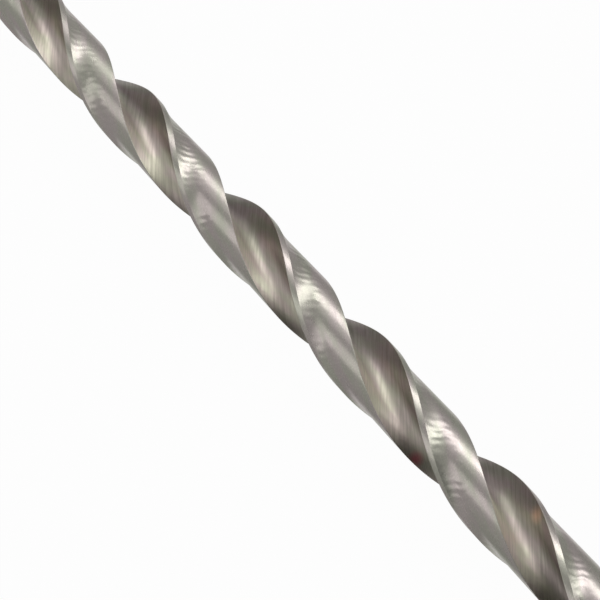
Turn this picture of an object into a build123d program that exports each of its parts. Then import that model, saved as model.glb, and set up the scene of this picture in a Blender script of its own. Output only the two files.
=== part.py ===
from build123d import *
import os
from math import acos, atan2, cos, degrees, radians, sin, sqrt, tan

# A long-series twist drill with two flutes and a right-hand helix, ground from one bar of tool steel.
# It lies along X: the flat end of the shank is at the origin and the point is at +X.
# Angles around the axis run from +Y towards +Z, and a land lies behind its cutting edge, at smaller angles.

# Overall sizes, in millimetres and degrees
drill_diameter = 5.0
overall_length = 132.0
flute_length = 87.0             # from the tip of the point to where the flutes have run out
collar_length = 1.0             # full diameter left between the end of the run-outs and the shank
shank_slope = 1.0               # length of the gentle cone from the collar down to the shank
shank_clearance = 0.01          # the shank is ground this much under the radius of the body
shank_chamfer = 0.4

# Helix and lands
flute_lead = 30.16              # length along the axis for one turn
land_angle = 93.0               # from the cutting edge back to the heel
margin_width = 0.5              # narrow strip that keeps the full diameter
relief_width = 1.2              # slope from the margin down to the body clearance
clearance_depth = 0.29          # body clearance where the relief ends
heel_depth = 0.23               # body clearance at the heel

# Flutes
web_thickness = 1.0
flute_floor_radius = 1.15       # concave arc that goes round the web
wheel_runout_radius = 16.0      # path of the grinding wheel as it leaves the bar, seen along the helix
runout_slices = 9               # sections that shape a run-out

# Point
point_angle = 118.0
flank_cone_angle = 60.0         # full angle of the cone that each flank is a part of
flank_apex_distance = 5.0       # from the drill axis to that cone's apex, along the lip
flank_offset = 1.0              # of that cone's axis, ahead of the drill axis: it gives the lip its clearance

# Cutting shapes reach this far outside the finished drill
overshoot = 1.0
past_heel = 1.2                 # end of the clearance cut, as a multiple of its arc up to the heel
past_wall = 2.0                 # end of the flute cut, as a multiple of its wall up to the heel

strips = 3                      # helical faces that share a wide arc of the section

radius = drill_diameter / 2
shank_radius = radius - shank_clearance
shank_length = overall_length - flute_length - collar_length - shank_slope
web_radius = web_thickness / 2
clearance_radius = radius - clearance_depth
heel_radius = radius - heel_depth
margin_angle = degrees(margin_width / radius)
relief_angle = margin_angle + degrees(relief_width / radius)
half_point = point_angle / 2
point_height = radius / tan(radians(half_point))
corner_x = overall_length - point_height
flute_depth = radius - web_radius

# The floor arc touches the web circle on one side and the straight rake face on the other
floor_centre = Vector(sqrt(web_radius**2 + 2 * flute_floor_radius * web_radius), flute_floor_radius)


def polar(length, angle):
    return Vector(length * cos(radians(angle)), length * sin(radians(angle)))


def longer_arc(arc, times):
    """The same arc, carried on past its end."""
    return ThreePointArc(arc @ 0, arc @ 1, arc @ times)


def in_strips(arc):
    """The same arc in pieces, because narrow helical faces need far fewer facets than wide ones."""
    cuts = [i / strips for i in range(strips + 1)]
    return [ThreePointArc(arc @ a, arc @ ((a + b) / 2), arc @ b) for a, b in zip(cuts, cuts[1:])]


def slice_plane(x):
    """Plane across the drill at x, with its local X axis pointing at a cutting edge."""
    turn = radians(360 * (x - corner_x) / flute_lead)
    return Plane(origin=(x, 0, 0), x_dir=(0, cos(turn), sin(turn)), z_dir=(1, 0, 0))


def runout_length(depth):
    """Length over which the wheel leaves a cut of this depth."""
    return sqrt(wheel_runout_radius**2 - (wheel_runout_radius - depth) ** 2)


runout_start = overall_length - flute_length + runout_length(flute_depth)


def wheel_lift(x):
    """How far the wheel has risen at x, on its way out of the bar towards the shank."""
    past = max(runout_start - x, 0)
    return wheel_runout_radius - sqrt(wheel_runout_radius**2 - past**2)


def runout_places(depth):
    """Where the run-out of a cut of this depth is sliced, from inside the flutes to past its end."""
    step = (runout_length(depth) + overshoot) / (runout_slices - 1)
    return [runout_start + overshoot] + [runout_start - i * step for i in range(runout_slices)]


def land_back(lift):
    """Relief and body clearance behind a margin, as two tangent arcs."""
    relief_end = polar(clearance_radius + lift, -relief_angle)
    middle = polar((clearance_radius + heel_radius) / 2 + lift, -(relief_angle + land_angle) / 2)
    clearance = ThreePointArc(relief_end, middle, polar(heel_radius + lift, -land_angle))
    relief = TangentArc(relief_end, polar(radius + lift, -margin_angle), tangent=-(clearance % 0))
    return relief, clearance


def flute_wall_and_floor():
    """The flute that lies ahead of the cutting edge on local X: from the heel across it to its rake face."""
    heel = polar(heel_radius, 180 - land_angle)
    to_heel = heel - floor_centre
    # The wall runs straight from the heel and touches the floor arc
    foot_angle = degrees(atan2(to_heel.Y, to_heel.X) + acos(flute_floor_radius / to_heel.length))
    wall = Line(floor_centre + polar(flute_floor_radius, foot_angle), heel)
    floor = CenterArc(floor_centre, flute_floor_radius, foot_angle, 270 - foot_angle)
    return wall, floor


def section():
    """Full cross-section: two lands and two flutes."""
    margin = CenterArc((0, 0), radius, -margin_angle, margin_angle)
    relief, clearance = land_back(0)
    wall, floor = flute_wall_and_floor()
    rake_face = Line(floor @ 1, (radius, 0))
    half = [margin, relief, *in_strips(clearance), wall, *in_strips(floor), rake_face]
    return make_face(half + [Rot(Z=180) * edge for edge in half])


def flute_cutter():
    """What the wheel takes out of the bar while it leaves the flute ahead of local X."""
    to_heel, floor = flute_wall_and_floor()
    wall = Line(to_heel @ 0, to_heel @ past_wall)
    outside = Polyline(floor @ 1, (drill_diameter, 0), polar(drill_diameter, 45), wall @ 1)
    profile = make_face(Curve() + [wall, floor, outside])
    outward = polar(1, 45)
    return loft(
        [slice_plane(x) * Pos(outward * wheel_lift(x)) * profile for x in runout_places(flute_depth)]
    )


def clearance_cutter():
    """What the wheel takes off the land behind local X while it leaves the body clearance."""
    slices = []
    for x in runout_places(clearance_depth):
        relief, to_heel = land_back(wheel_lift(x))
        clearance = longer_arc(to_heel, past_heel)
        far_corners = [polar(drill_diameter, -angle) for angle in (past_heel * land_angle, land_angle / 2, 0)]
        outside = Polyline(clearance @ 1, *far_corners, relief @ 1)
        slices.append(slice_plane(x) * make_face(Curve() + [relief, clearance, outside]))
    return loft(slices)


def fluted_body():
    length = overall_length - runout_start
    face = (slice_plane(runout_start) * section()).face()
    turn = 360 * length / flute_lead
    return Solid.extrude_linear_with_rotation(face, (runout_start, 0, 0), (length, 0, 0), turn)


def bar():
    """Shank, collar and round body up to where the flutes have their full depth."""
    profile = Polyline(
        (0, 0),
        (0, shank_radius - shank_chamfer),
        (shank_chamfer, shank_radius),
        (shank_length, shank_radius),
        (shank_length + shank_slope, radius),
        (runout_start, radius),
        (runout_start, 0),
        close=True,
    )
    return revolve(make_face(profile), Axis.X)


def bar_with_runouts():
    cut = bar()
    for half_turn in (0, 180):
        cut -= Rot(X=half_turn) * flute_cutter()
        cut -= Rot(X=half_turn) * clearance_cutter()
    return cut


def flank_cone():
    """Cone that the flank behind the lip along local X is ground to, through the tip of the drill."""
    half = radians(flank_cone_angle / 2)
    lean = radians(half_point) - half
    reach = flank_apex_distance * sin(radians(half_point))
    # Height of the apex above the tip, from the quadratic for a point on the cone
    a = cos(lean) ** 2 - cos(half) ** 2
    b = reach * sin(lean) * cos(lean)
    c = (reach * sin(lean)) ** 2 - cos(half) ** 2 * (reach**2 + flank_offset**2)
    rise = (sqrt(b**2 - a * c) - b) / a
    height = flank_apex_distance + 2 * drill_diameter
    seat = Plane(origin=(-reach, flank_offset, rise), z_dir=(sin(lean), 0, -cos(lean)))
    return seat * Cone(0, height * tan(half), height, align=(Align.CENTER, Align.CENTER, Align.MIN))


def lip_turn():
    """Angle from the radius at the corner to the lip, which turns with the helix on its way to the tip."""
    rise = (radius - floor_centre.X) / tan(radians(half_point))
    inner_end = polar(floor_centre.X, 360 * rise / flute_lead)
    along = Vector(radius, 0) - inner_end
    return degrees(atan2(along.Y, along.X))


def flank_waste():
    """What grinding one flank takes off the end of the fluted bar."""
    end = Cylinder(
        radius + overshoot,
        point_height + radius + overshoot,
        align=(Align.CENTER, Align.CENTER, Align.MAX),
    )
    return Plane.YZ.offset(overall_length) * Rot(Z=lip_turn()) * (Pos(Z=overshoot) * end - flank_cone())


def drill_bit():
    drill = bar_with_runouts() + fluted_body()
    for half_turn in (0, 180):
        drill -= Rot(X=half_turn) * flank_waste()
    return drill


os.makedirs("parts", exist_ok=True)
export_step(drill_bit(), "parts/drill_bit.step")
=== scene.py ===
from math import cos, degrees, pi, radians, sin, sqrt, tan

import bpy
import numpy as np
from mathutils import Matrix, Vector
from mathutils.geometry import delaunay_2d_cdt


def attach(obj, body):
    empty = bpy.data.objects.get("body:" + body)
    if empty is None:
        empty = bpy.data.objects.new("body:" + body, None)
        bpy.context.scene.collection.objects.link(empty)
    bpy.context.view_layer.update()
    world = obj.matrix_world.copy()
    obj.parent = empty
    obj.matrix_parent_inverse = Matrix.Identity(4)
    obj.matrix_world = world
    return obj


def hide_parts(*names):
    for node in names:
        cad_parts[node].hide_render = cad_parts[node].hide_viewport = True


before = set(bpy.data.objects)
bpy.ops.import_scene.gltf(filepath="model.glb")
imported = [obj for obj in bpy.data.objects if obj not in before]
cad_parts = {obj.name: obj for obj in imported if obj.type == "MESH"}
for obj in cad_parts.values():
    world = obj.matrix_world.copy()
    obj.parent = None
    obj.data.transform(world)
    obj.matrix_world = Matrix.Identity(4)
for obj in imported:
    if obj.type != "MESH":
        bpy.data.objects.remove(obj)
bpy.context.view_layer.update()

MM = 0.001

# Sizes of the drill in millimetres and degrees, as in the CAD
drill_diameter = 5.0
overall_length = 132.0
flute_length = 87.0
collar_length = 1.0
shank_slope = 1.0
shank_clearance = 0.01
shank_chamfer = 0.4
flute_lead = 30.16
land_angle = 93.0
margin_width = 0.5
relief_width = 1.2
clearance_depth = 0.29
heel_depth = 0.23
web_thickness = 1.0
flute_floor_radius = 1.15
wheel_runout_radius = 16.0
point_angle = 118.0
flank_cone_angle = 60.0
flank_apex_distance = 5.0
flank_offset = 1.0

radius = drill_diameter / 2
shank_radius = radius - shank_clearance
shank_length = overall_length - flute_length - collar_length - shank_slope
web_radius = web_thickness / 2
clearance_radius = radius - clearance_depth
heel_radius = radius - heel_depth
margin_angle = degrees(margin_width / radius)
relief_angle = margin_angle + degrees(relief_width / radius)
half_point = point_angle / 2
corner_x = overall_length - radius / tan(radians(half_point))
flute_depth = radius - web_radius
runout_end = overall_length - flute_length
runout_start = runout_end + sqrt(wheel_runout_radius**2 - (wheel_runout_radius - flute_depth) ** 2)

# Point of the section where the flute's floor arc meets the straight rake face, and the arc's centre
rake_foot = sqrt(web_radius**2 + 2 * flute_floor_radius * web_radius)
floor_centre = complex(rake_foot, flute_floor_radius)

# Wear, in millimetres
edge_wear = 0.04                # that cutting edges and heels are worn back along each of their faces
tip_wear = 0.01

# Spacing of the mesh, in millimetres
ring_step = 0.2                 # along the fluted part
shank_step = 1.0
flank_step = 0.12
flank_gap = 0.07                # kept free between a flank's inner points and its edges
last_depth = 0.0005             # of the flute where its run-out ends

# Numbers of steps in the mesh
curve_places = 200              # in each curve, before it is cut to the mesh's steps
flute_segments = 40
edge_segments = 8
margin_segments = 4
relief_segments = 8
clearance_segments = 14
point_rings = 12
chisel_segments = 10
search_rounds = 45              # that find where a line meets a flank, each of which halves the error

past_heel = 1.4                 # end of the clearance arc, as a multiple of the arc up to the heel
past_wall = 2.0                 # end of the flute wall, as a multiple of the wall up to the heel
least_relief_angle = 2.0        # left to the relief where the wheel has nearly run out
point_start = corner_x - 1.0    # from here each line of the mesh runs on to the flank that cuts it

# Steels, by their place among the drill's materials
LAND, FLUTE, SHANK, FLANK = range(4)


# A point of a section is a complex number: its real part runs towards a cutting edge,
# and its imaginary part towards the flute ahead of that edge.

def polar(length, angle):
    return length * np.exp(1j * np.radians(angle))


def arc(start, heading, end, places):
    """Points at the given places, 0 to 1, of the circular arc that leaves start along heading and meets end."""
    chord = end - start
    bend = np.angle(chord / heading)
    unit = heading / abs(heading)
    return start + abs(chord) * np.sin(bend * places) / np.sin(bend) * unit * np.exp(1j * bend * places)


def heading_through(start, middle, end):
    """Direction in which the circle through three points leaves the first."""
    return (middle - start) * (end - start) / (end - middle)


def flute_curve():
    """The flute from beyond the heel straight down its wall, round the floor and out along the rake face."""
    heel = polar(heel_radius, 180 - land_angle)
    to_heel = heel - floor_centre
    foot_angle = np.angle(to_heel) + np.arccos(flute_floor_radius / abs(to_heel))
    foot = floor_centre + flute_floor_radius * np.exp(1j * foot_angle)
    floor_angles = np.linspace(foot_angle, 1.5 * pi, 2 * curve_places)
    wall = foot + (heel - foot) * np.linspace(past_wall, 0, 2 * curve_places)
    floor = floor_centre + flute_floor_radius * np.exp(1j * floor_angles)
    rake = np.linspace(rake_foot, 2 * drill_diameter, 3 * curve_places) + 0j
    return np.concatenate([wall, floor[1:], rake[1:]])


def land_curve(lift):
    """The land from the margin's end to past the heel, as angles and radii; lift is how far the wheel has risen."""
    relief_end = polar(clearance_radius + lift, -relief_angle)
    middle = polar((clearance_radius + heel_radius) / 2 + lift, -(relief_angle + land_angle) / 2)
    heel = polar(heel_radius + lift, -land_angle)
    heading = heading_through(relief_end, middle, heel)
    clearance = arc(relief_end, heading, heel, np.linspace(0, past_heel, 2 * curve_places))
    margin_end = polar(radius + lift, -margin_angle)
    relief = arc(relief_end, -heading, margin_end, np.linspace(1, 0, curve_places))
    points = np.concatenate([relief[:-1], clearance])
    return -np.degrees(np.unwrap(np.angle(points))), np.minimum(np.abs(points), radius)


def cut_flute(lift, angles, radii):
    """The flute, moved out with the wheel, from the heel where it leaves one land to its cutting edge."""
    curve = whole_flute + lift * polar(1, 45)
    behind_edge = 180 - np.degrees(np.angle(curve))
    past_margin = (behind_edge > angles[0]) & (behind_edge < angles[-1])
    height = np.abs(curve) - np.where(past_margin, np.interp(behind_edge, angles, radii), radius)
    inside = np.flatnonzero(height < 0)
    first, last = inside[0], inside[-1]

    def crossing(a, b):
        share = height[a] / (height[a] - height[b])
        return curve[a] + share * (curve[b] - curve[a])

    return np.concatenate([[crossing(first - 1, first)], curve[first:last + 1], [crossing(last, last + 1)]])


def margin_end_angle(angles, radii):
    """Where the full diameter ends behind a cutting edge, which is later while the wheel runs out."""
    full_diameter = np.flatnonzero(radii > radius - 1e-9)
    runs_out = len(full_diameter) and full_diameter[-1] < curve_places - 10
    end = angles[full_diameter[-1]] if runs_out else angles[0]
    return min(max(end, margin_angle), relief_angle - least_relief_angle)


def worn_edge(before, edge, after):
    """Points inside the small curve that stands for a worn edge."""
    t = np.linspace(0, 1, edge_segments + 1)[1:-1]
    return (1 - t) ** 2 * before + 2 * t * (1 - t) * edge + t**2 * after


def half_ring(lift):
    """Points of half a section: the flute from heel to cutting edge, then the land back to the other heel."""
    angles, radii = land_curve(lift)
    curve = cut_flute(lift, angles, radii)
    heel, corner = curve[0], curve[-1]
    length = lengths(curve)
    worn = min(edge_wear, length[-1] / 5)
    flute = np.interp(np.linspace(worn, length[-1] - worn, flute_segments + 1), length, curve)

    worn_angle = degrees(worn / radius)
    edge_angle = worn_angle - np.degrees(np.angle(corner))
    heel_angle = 180 - np.degrees(np.angle(heel)) - worn_angle
    margin_end = margin_end_angle(angles, radii)
    spans = [
        (edge_angle, margin_end, margin_segments),
        (margin_end, relief_angle, relief_segments),
        (relief_angle, heel_angle, clearance_segments),
    ]
    behind = np.concatenate([[edge_angle], *(np.linspace(a, b, n + 1)[1:] for a, b, n in spans)])
    land = polar(np.where(behind < angles[0], radius, np.interp(behind, angles, radii)), -behind)
    cutting_edge = worn_edge(flute[-1], corner, land[0])
    other_heel = worn_edge(land[-1], -heel, -flute[0])
    return np.concatenate([flute, cutting_edge, land, other_heel])


def lengths(points):
    """Length along a line of points, at each of them."""
    return np.concatenate([[0], np.cumsum(np.abs(np.diff(points)))])


def along_profile(half):
    """Length along the section from the cutting edge, negative into the flute and positive over the land."""
    length = lengths(np.append(half, -half[0]))
    return length - length[flute_segments]


def turned(x):
    """Turn of the section at x, as a unit complex number."""
    return np.exp(1j * 2 * pi * (x - corner_x) / flute_lead)


def flank_heights(across):
    """Where the two flanks cut lines along the drill, as x in millimetres."""
    inner_end = rake_foot * turned(corner_x + (radius - rake_foot) / tan(radians(half_point)))
    lip = (radius - inner_end) / abs(radius - inner_end)
    half = radians(flank_cone_angle / 2)
    lean = radians(half_point) - half
    reach = flank_apex_distance * sin(radians(half_point))
    a = cos(lean) ** 2 - cos(half) ** 2

    def depth(along, aside):
        """How far below its apex the cone is, from the quadratic for a point on it."""
        b = along * sin(lean) * cos(lean)
        c = (along * sin(lean)) ** 2 - cos(half) ** 2 * (along**2 + aside**2)
        return (np.sqrt(b**2 - a * c) - b) / a

    apex = overall_length + depth(reach, flank_offset)
    both = (side * across / lip for side in (1, -1))
    return [apex - depth(local.real + reach, local.imag - flank_offset) for local in both]


def helix_end(points):
    """Where the helical lines through points of the section meet the point of the drill."""
    low = np.full(points.shape, point_start)
    high = np.full(points.shape, overall_length + 1.0)
    for _ in range(search_rounds):
        middle = (low + high) / 2
        below = middle < np.minimum(*flank_heights(points * turned(middle)))
        low = np.where(below, middle, low)
        high = np.where(below, high, middle)
    return low


def ring(across, x):
    """A ring of points in space from complex numbers across the drill."""
    return np.column_stack([np.broadcast_to(x, across.shape), across.real, across.imag])


def full(half):
    return np.concatenate([half, -half])


def wheel_lift(x):
    """How far the wheel has risen at x, up to where a last trace of the flute is left."""
    past = runout_start - x
    return min(wheel_runout_radius - sqrt(wheel_runout_radius**2 - past**2), flute_depth - last_depth)


def spaced(start, end, step):
    return np.linspace(start, end, max(2, round((end - start) / step) + 1))


def drill_rings():
    """All rings of the drill from the end of the shank to the rim of the point."""
    round_angles = np.angle(full(half_ring(flute_depth - last_depth)) * turned(runout_end))
    round_rings = [
        (0, shank_radius - shank_chamfer),
        *((x, shank_radius) for x in spaced(shank_chamfer, shank_length, shank_step)),
        (shank_length + shank_slope, radius),
    ]
    rings = [ring(r * np.exp(1j * round_angles), x) for x, r in round_rings]
    for x in spaced(runout_end, runout_start, ring_step)[:-1]:
        rings.append(ring(full(half_ring(wheel_lift(x))) * turned(x), x))
    plain = half_ring(0)
    for x in spaced(runout_start, point_start, ring_step):
        rings.append(ring(full(plain) * turned(x), x))
    ends = helix_end(full(plain))
    for share in np.linspace(0, 1, point_rings + 1)[1:]:
        x = point_start + share * (ends - point_start)
        rings.append(ring(full(plain) * turned(x), x))
    return np.array(rings), along_profile(plain)


# Each of the next three gives faces, the grain coordinates of their corners, and their steels.

def wall(rings, profile):
    """Quads between neighbouring rings."""
    count, columns = rings.shape[:2]
    half = columns // 2
    faces, grain, steels = [], [], []
    for i in range(count - 1):
        for j in range(columns):
            u0, u1 = profile[j % half], profile[j % half + 1]
            corners = ((i, j, u0), (i + 1, j, u0), (i + 1, (j + 1) % columns, u1), (i, (j + 1) % columns, u1))
            faces.append(tuple(row * columns + column for row, column, _ in corners))
            grain += [(u, rings[row, column, 0]) for row, column, u in corners]
            if rings[i + 1, j, 0] <= runout_end:
                steels.append(SHANK)
            else:
                steels.append(FLUTE if j % half < flute_segments else LAND)
    return faces, grain, steels


def shank_end(columns, centre, profile):
    """Triangles from the middle of the shank's end to the first ring."""
    half = columns // 2
    faces = [(centre, j, (j + 1) % columns) for j in range(columns)]
    grain = []
    for j in range(columns):
        grain += [(0, 0), (profile[j % half], shank_chamfer), (profile[j % half + 1], shank_chamfer)]
    return faces, grain, [SHANK] * columns


def flanks(verts, rim_start, columns):
    """Triangles over the point, which lie on the two flanks, and the vertices that they add."""
    rim = verts[rim_start:, 1] + 1j * verts[rim_start:, 2]
    rim = rim[:columns]
    chisel_ends, chisel = chisel_edge(rim)
    grid = np.arange(-radius, radius, flank_step)
    inner = [
        p for p in (complex(y, z) for y in grid for z in grid)
        if min(np.abs(rim - p).min(), np.abs(chisel - p).min()) > flank_gap and is_inside(p, rim)
    ]
    flat = [Vector((p.real, p.imag)) for p in (*rim, *chisel, *inner)]
    ridge = [chisel_ends[0], *range(columns, columns + len(chisel)), chisel_ends[1]]
    edges = [(j, (j + 1) % columns) for j in range(columns)] + list(zip(ridge, ridge[1:]))
    spots, _, triangles, sources, _, _ = delaunay_2d_cdt(flat, edges, [list(range(columns))], 1, 1e-7)

    index = []
    for spot, source in zip(spots, sources):
        on_rim = [s for s in source if s < columns]
        index.append(rim_start + on_rim[0] if on_rim else len(verts))
        if not on_rim:
            x = min(*flank_heights(complex(*spot)), overall_length - tip_wear)
            verts = np.vstack([verts, [[x, *spot]]])
    faces = [tuple(index[k] for k in triangle) for triangle in triangles]
    grain = []
    for face in faces:
        first, second = flank_heights(complex(*verts[list(face), 1:].mean(0)))
        side = 1 if first < second else -1
        grain += [(side * verts[k][1], side * verts[k][2]) for k in face]
    return verts, (faces, grain, [FLANK] * len(faces))


def chisel_edge(rim):
    """Places in the rim where the chisel edge ends, and the points between those."""
    first, second = flank_heights(rim)
    ahead = first < second
    changes = np.flatnonzero(ahead != np.roll(ahead, 1))
    ends = [min((j, (j - 1) % len(rim)), key=lambda k: abs(first[k] - second[k])) for j in changes]
    shares = np.linspace(0, 1, chisel_segments + 1)[1:-1]
    return ends, rim[ends[0]] + shares * (rim[ends[1]] - rim[ends[0]])


def is_inside(p, outline):
    a, b = outline, np.roll(outline, -1)
    spans = (a.imag > p.imag) != (b.imag > p.imag)
    a, b = a[spans], b[spans]
    crossings = a.real + (p.imag - a.imag) / (b.imag - a.imag) * (b.real - a.real)
    return np.count_nonzero(p.real < crossings) % 2 == 1


def build_drill():
    rings, profile = drill_rings()
    count, columns = rings.shape[:2]
    centre = count * columns
    verts = np.vstack([rings.reshape(-1, 3), [[0, 0, 0]]])
    verts, point = flanks(verts, centre - columns, columns)
    parts = (wall(rings, profile), shank_end(columns, centre, profile), point)
    faces, grain, steels = (sum(lists, []) for lists in zip(*parts))

    mesh = bpy.data.meshes.new("twist_drill")
    mesh.from_pydata((verts * MM).tolist(), [], faces)
    mesh.uv_layers.new(name="grain").data.foreach_set("uv", np.array(grain, float).ravel())
    mesh.polygons.foreach_set("material_index", np.array(steels, np.int32))
    mesh.polygons.foreach_set("use_smooth", np.ones(len(faces), bool))
    mesh.update()
    mesh.validate(verbose=True)
    mesh.set_sharp_from_angle(angle=radians(20))
    piece = bpy.data.objects.new("twist_drill", mesh)
    bpy.context.scene.collection.objects.link(piece)
    return piece


class Surface:
    """A node material in the making."""

    def __init__(self, name):
        self.material = bpy.data.materials.new(name)
        self.material.use_nodes = True
        self.tree = self.material.node_tree

    def node(self, kind, inputs, **settings):
        """Add a node, set or link its inputs, and give its first output."""
        made = self.tree.nodes.new("ShaderNode" + kind)
        for name, value in settings.items():
            setattr(made, name, value)
        for place, value in inputs.items():
            if isinstance(value, bpy.types.NodeSocket):
                self.tree.links.new(value, made.inputs[place])
            else:
                made.inputs[place].default_value = value
        return made.outputs[0] if made.outputs else made

    def maths(self, operation, *values):
        return self.node("Math", dict(enumerate(values)), operation=operation)

    def ramp(self, value, low, high, to_low=0, to_high=1):
        """A smooth change from one value to another while the input goes from low to high."""
        ends = {0: value, 1: low, 2: high, 3: to_low, 4: to_high}
        return self.node("MapRange", ends, interpolation_type="SMOOTHSTEP")

    def mix(self, share, first, second):
        """A blend of two colours, each given as numbers or as a node's output."""
        first, second = (c if isinstance(c, bpy.types.NodeSocket) else (*c, 1) for c in (first, second))
        return self.node("MixRGB", {0: share, 1: first, 2: second})

    def scaled(self, colour, factor):
        """The colour made lighter or darker."""
        return self.node("VectorMath", {0: colour, 3: factor}, operation="SCALE")

    def with_spot(self, colour, place, size, spot_colour):
        """The colour turned to another, most at its place on the drill and not at all beyond its size."""
        here = self.node("TexCoord", {}).node.outputs["Object"]
        away = self.node("VectorMath", {0: here, 1: Vector(place) * MM}, operation="DISTANCE").node.outputs["Value"]
        return self.mix(self.ramp(away, size * MM, 0), colour, spot_colour)


class Steel(Surface):
    """A steel material. Its u is the length along the section from the cutting edge, negative in the flute, and
    its v is the length along the drill, both in millimetres. Its grinding lines lie at slant degrees to the drill."""

    def __init__(self, name, anisotropic, slant):
        super().__init__(name)
        self.shader = self.tree.nodes["Principled BSDF"]
        self.shader.inputs["Metallic"].default_value = 1
        self.shader.inputs["Anisotropic"].default_value = anisotropic
        self.shader.inputs["Anisotropic Rotation"].default_value = slant / 360
        across = self.node("Tangent", {}, direction_type="UV_MAP", uv_map="grain")
        self.tree.links.new(across, self.shader.inputs["Tangent"])
        self.u = self.node("SeparateXYZ", {0: self.node("UVMap", {}, uv_map="grain")})
        self.v = self.u.node.outputs[1]

    def slanted(self, slope):
        """A coordinate that stays the same along lines where u changes by minus slope for each unit of v."""
        return self.maths("MULTIPLY_ADD", self.v, slope, self.u)

    def noise(self, first, width, second, length, seed, detail):
        """Noise whose marks are about this wide along the first coordinate and this long along the second."""
        cell = {0: self.maths("DIVIDE", first, width), 1: self.maths("DIVIDE", second, length), 2: seed}
        return self.node("TexNoise", {"Vector": self.node("CombineXYZ", cell), "Scale": 1, "Detail": detail})

    def finish(self, colour, roughness, height, depth):
        """Link the surface. The height moves it by up to depth, in millimetres."""
        normal = self.node("Bump", {"Height": height, "Strength": 1, "Distance": depth * MM})
        self.tree.links.new(colour, self.shader.inputs["Base Color"])
        self.tree.links.new(roughness, self.shader.inputs["Roughness"])
        self.tree.links.new(normal, self.shader.inputs["Normal"])
        return self.material


# Colours of the steel, each as its two tints
ground = (0.58, 0.575, 0.49), (0.645, 0.575, 0.55)
# The next two are the flute's colours: the first darkens the rake face with painted shade and the second lightens the
# wall with a painted highlight, each over its own tint.
rake_tint_and_painted_shade = (0.29, 0.275, 0.232), (0.31, 0.257, 0.25)
wall_tint_and_painted_highlight = (0.71, 0.685, 0.55), (0.755, 0.66, 0.595)
fresh = (0.56, 0.54, 0.49), (0.64, 0.60, 0.55)

# Coloured spots in the flutes: place and size in millimetres, and colour
red_spot = (108.6, -1.9, -0.2), 0.8, (0.95, 0.36, 0.38)
straw_spot = (118.2, 1.6, 1.1), 0.9, (0.56, 0.38, 0.29)

# Marks of the wheels, in millimetres
scratch_slope = 0.75            # fall of u along a scratch of the flute, for each unit of v
scratch_depth = 0.0025
rib_slope = -1.6                # the same for a rib of the relief, which rises
rib_spacing = 0.95
rib_wander = 0.9
rib_depth = 0.011


def flute_steel():
    """Steel with the scratches of the flute wheel. Its colour is lighter up the wall, partly a painted highlight, and
    darker along the rake face, partly painted shade.
    """
    steel = Steel("flute_steel", anisotropic=0.92, slant=-14)
    across = steel.slanted(scratch_slope)
    coarse = steel.noise(across, 0.22, steel.v, 4.0, seed=1, detail=4)
    fine = steel.noise(across, 0.07, steel.v, 1.5, seed=2, detail=2)
    scratches = steel.maths("MULTIPLY_ADD", fine, 0.5, coarse)
    patches = steel.noise(steel.u, 1.6, steel.v, 6.0, seed=3, detail=3)
    # Mask that turns the colour lighter up the wall, a painted highlight, and darker along the rake face, painted
    # shade
    up_wall_painted_light = steel.ramp(steel.maths("MULTIPLY_ADD", patches, 1.2, steel.u), -0.6, -3.0)
    tint = steel.ramp(steel.noise(steel.u, 1.0, steel.v, 2.5, seed=13, detail=2), 0.35, 0.65)
    colour = steel.mix(up_wall_painted_light, steel.mix(tint, *rake_tint_and_painted_shade), steel.mix(tint, *wall_tint_and_painted_highlight))
    for spot_colour in (red_spot, straw_spot):
        colour = steel.with_spot(colour, *spot_colour)
    colour = steel.scaled(colour, steel.ramp(scratches, 0.5, 1.0, 0.86, 1.14))
    roughness = steel.ramp(scratches, 0.5, 1.0, 0.39, 0.31)
    return steel.finish(colour, roughness, scratches, scratch_depth)


def land_steel():
    """Bright ground steel with the slanting ribs that the relief wheel left."""
    steel = Steel("land_steel", anisotropic=0.3, slant=90)
    wander = steel.noise(steel.u, 1.2, steel.v, 1.6, seed=4, detail=1)
    feed = steel.maths("MULTIPLY_ADD", wander, rib_wander, steel.slanted(rib_slope))
    ribs = steel.maths("SINE", steel.maths("MULTIPLY", feed, 2 * pi / rib_spacing))
    behind_margin = steel.ramp(steel.u, margin_width, margin_width + 0.5)
    on_relief = steel.maths("MULTIPLY", behind_margin, steel.ramp(steel.u, 2.8, 1.7))
    patchy = steel.ramp(steel.noise(steel.u, 3.0, steel.v, 3.5, seed=6, detail=1), 0.35, 0.6, 0.15, 1)
    marks = steel.maths("MULTIPLY", ribs, steel.maths("MULTIPLY", on_relief, patchy))
    grain = steel.noise(steel.u, 0.12, steel.v, 0.12, seed=7, detail=3)
    tint = steel.noise(steel.u, 1.2, steel.v, 4.0, seed=8, detail=3)
    plain = steel.mix(steel.ramp(tint, 0.35, 0.65), *ground)
    colour = steel.scaled(plain, steel.ramp(grain, 0.45, 0.75, 0.97, 1.15))
    polish = steel.noise(steel.u, 0.5, steel.v, 1.5, seed=9, detail=3)
    roughness = steel.ramp(polish, 0.3, 0.7, 0.26, 0.36)
    return steel.finish(colour, roughness, steel.maths("MULTIPLY_ADD", grain, 0.5, marks), rib_depth)


def shank_steel():
    """Bright steel with the fine rings of centreless grinding."""
    steel = Steel("shank_steel", anisotropic=0.5, slant=90)
    rings = steel.noise(steel.v, 0.08, steel.u, 2.5, seed=10, detail=4)
    tint = steel.noise(steel.u, 2.5, steel.v, 5.0, seed=11, detail=3)
    colour = steel.mix(steel.ramp(tint, 0.35, 0.65), *ground)
    return steel.finish(colour, steel.ramp(rings, 0.3, 0.7, 0.24, 0.34), rings, 0.002)


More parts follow.
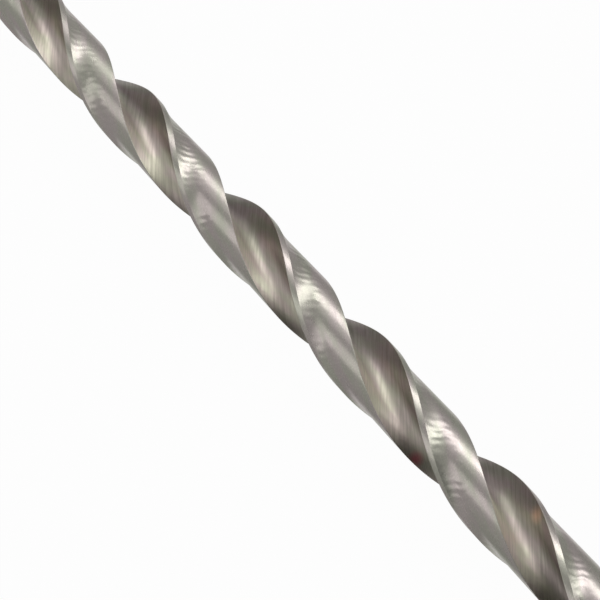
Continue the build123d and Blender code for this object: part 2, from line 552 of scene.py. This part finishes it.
def flank_steel():
    """Freshly ground steel, with lines across each lip."""
    steel = Steel("flank_steel", anisotropic=0.5, slant=0)
    lines = steel.noise(steel.u, 0.07, steel.v, 1.5, seed=12, detail=4)
    colour = steel.mix(steel.ramp(lines, 0.35, 0.65), *fresh)
    return steel.finish(colour, steel.ramp(lines, 0.3, 0.7, 0.22, 0.32), lines, 0.002)


whole_flute = flute_curve()
drill = build_drill()
for make in (land_steel, flute_steel, shank_steel, flank_steel):
    drill.data.materials.append(make())
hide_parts("drill_bit")
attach(drill, "root")

# Studio
floor_size = 4                  # metres
floor_white = 0.975             # share of plain white in the floor where it is white
mirrored_white = 0.6            # the same in the mirrored strip, as a share of that
strip_inner = 3                 # mm to each side of the drill where the mirrored strip starts to fade
strip_outer = 7
world_strength = 0.37


def pale_floor():
    """Plain pale floor. The camera sees it white, and in a strip below the drill it glows white in the steel's
    reflections only, a glow that paints bright reflections on the steel.
    """
    floor = Surface("pale_floor")
    floor.tree.nodes.clear()
    where = floor.node("SeparateXYZ", {0: floor.node("NewGeometry", {})})
    aside = floor.maths("ABSOLUTE", where.node.outputs[1])
    # The strip glows only for glossy rays, which paints bright reflections on the drill's lower sides
    strip = floor.ramp(aside, strip_outer * MM, strip_inner * MM, 0, mirrored_white)
    path = floor.node("LightPath", {}).node.outputs
    mirrored = floor.maths("MULTIPLY", path["Is Glossy Ray"], strip)
    seen = floor.maths("MAXIMUM", path["Is Camera Ray"], path["Is Transmission Ray"])
    surface = floor.node("MixShader", {
        0: floor.maths("MULTIPLY", floor.maths("MAXIMUM", seen, mirrored), floor_white),
        1: floor.node("BsdfDiffuse", {"Color": (0.7, 0.7, 0.7, 1)}),
        2: floor.node("Emission", {"Color": (1, 1, 1, 1), "Strength": 1}),
    })
    floor.node("OutputMaterial", {"Surface": surface})
    return floor.material


bpy.ops.mesh.primitive_plane_add(size=floor_size, location=(overall_length / 2 * MM, 0, -radius * MM))
floor = bpy.context.object
floor.name = "floor"
floor.data.materials.append(pale_floor())

# World: soft light all round, which the camera sees as white
world = bpy.data.worlds.new("studio")
bpy.context.scene.world = world
world.use_nodes = True
nodes, links = world.node_tree.nodes, world.node_tree.links
seen_or_soft = nodes.new("ShaderNodeMath")
seen_or_soft.operation = "MAXIMUM"
seen_or_soft.inputs[1].default_value = world_strength
links.new(nodes.new("ShaderNodeLightPath").outputs["Is Camera Ray"], seen_or_soft.inputs[0])
links.new(seen_or_soft.outputs[0], nodes["Background"].inputs["Strength"])
nodes["Background"].inputs["Color"].default_value = (1, 1, 1, 1)

# Camera: it looks down on the drill, which crosses the picture from corner to corner
aim = Vector((92.985, 0, 0))
tilt = radians(28.76)
roll = radians(46.912)
aim_distance = 150.95
sideways = -0.191
focal_pixels = 2033
picture_pixels = 600
sensor_width = 36

back = Vector((sin(tilt), 0, cos(tilt)))
right = Vector((cos(tilt) * cos(roll), sin(roll), -sin(tilt) * cos(roll)))
up = Vector((-cos(tilt) * sin(roll), cos(roll), sin(tilt) * sin(roll)))
camera_data = bpy.data.cameras.new("camera")
camera_data.sensor_width = sensor_width
camera_data.lens = focal_pixels / picture_pixels * sensor_width
camera_data.clip_start = 0.01
camera = bpy.data.objects.new("camera", camera_data)
place = (aim + aim_distance * back + Vector((0, sideways, 0))) * MM
camera.matrix_world = Matrix.Translation(place) @ Matrix((right, up, back)).transposed().to_4x4()
bpy.context.scene.collection.objects.link(camera)
bpy.context.scene.camera = camera

# The camera's own dark body, which the steel mirrors, in metres
body_size = (0.10, 0.26)
body_offset = Vector((0.0, -0.04, 0.005))

bpy.ops.mesh.primitive_plane_add(size=1)
camera_body = bpy.context.object
camera_body.name = "camera_body"
facing = Matrix((Vector((back.z, 0, -back.x)), Vector((0, 1, 0)), back)).transposed().to_4x4()
camera_body.matrix_world = (
    Matrix.Translation(place + body_offset) @ facing @ Matrix.Diagonal((*body_size, 1, 1))
)
camera_body.visible_camera = False
dark = bpy.data.materials.new("camera_body")
dark.use_nodes = True
dark.node_tree.nodes["Principled BSDF"].inputs["Base Color"].default_value = (0.03, 0.03, 0.03, 1)
camera_body.data.materials.append(dark)


def lamp(name, around, along, width, height, radiance, distance=0.5):
    """Area lamp of a given radiance facing the drill: around is its angle about the drill, from +Y towards +Z,
    and along how far it leans towards the point. Its width runs along the drill. Lengths are in metres."""
    data = bpy.data.lights.new(name, "AREA")
    data.shape = "RECTANGLE"
    data.size = width
    data.size_y = height
    data.energy = radiance * width * height * pi
    towards = Vector((sin(radians(along)), *(cos(radians(along)) * f(radians(around)) for f in (cos, sin))))
    level = (Vector((1, 0, 0)) - towards.x * towards).normalized()
    axes = Matrix((level, towards.cross(level), towards)).transposed()
    lamp_object = bpy.data.objects.new(name, data)
    lamp_object.matrix_world = Matrix.Translation(aim * MM + towards * distance) @ axes.to_4x4()
    bpy.context.scene.collection.objects.link(lamp_object)


lamp("key", around=41, along=-14, width=0.42, height=0.22, radiance=1.45)
lamp("key_halo", around=44, along=-14, width=0.80, height=0.60, radiance=0.25)
lamp("fill", around=122, along=-28, width=0.40, height=0.28, radiance=0.46)

bpy.context.scene.view_settings.view_transform = "Standard"
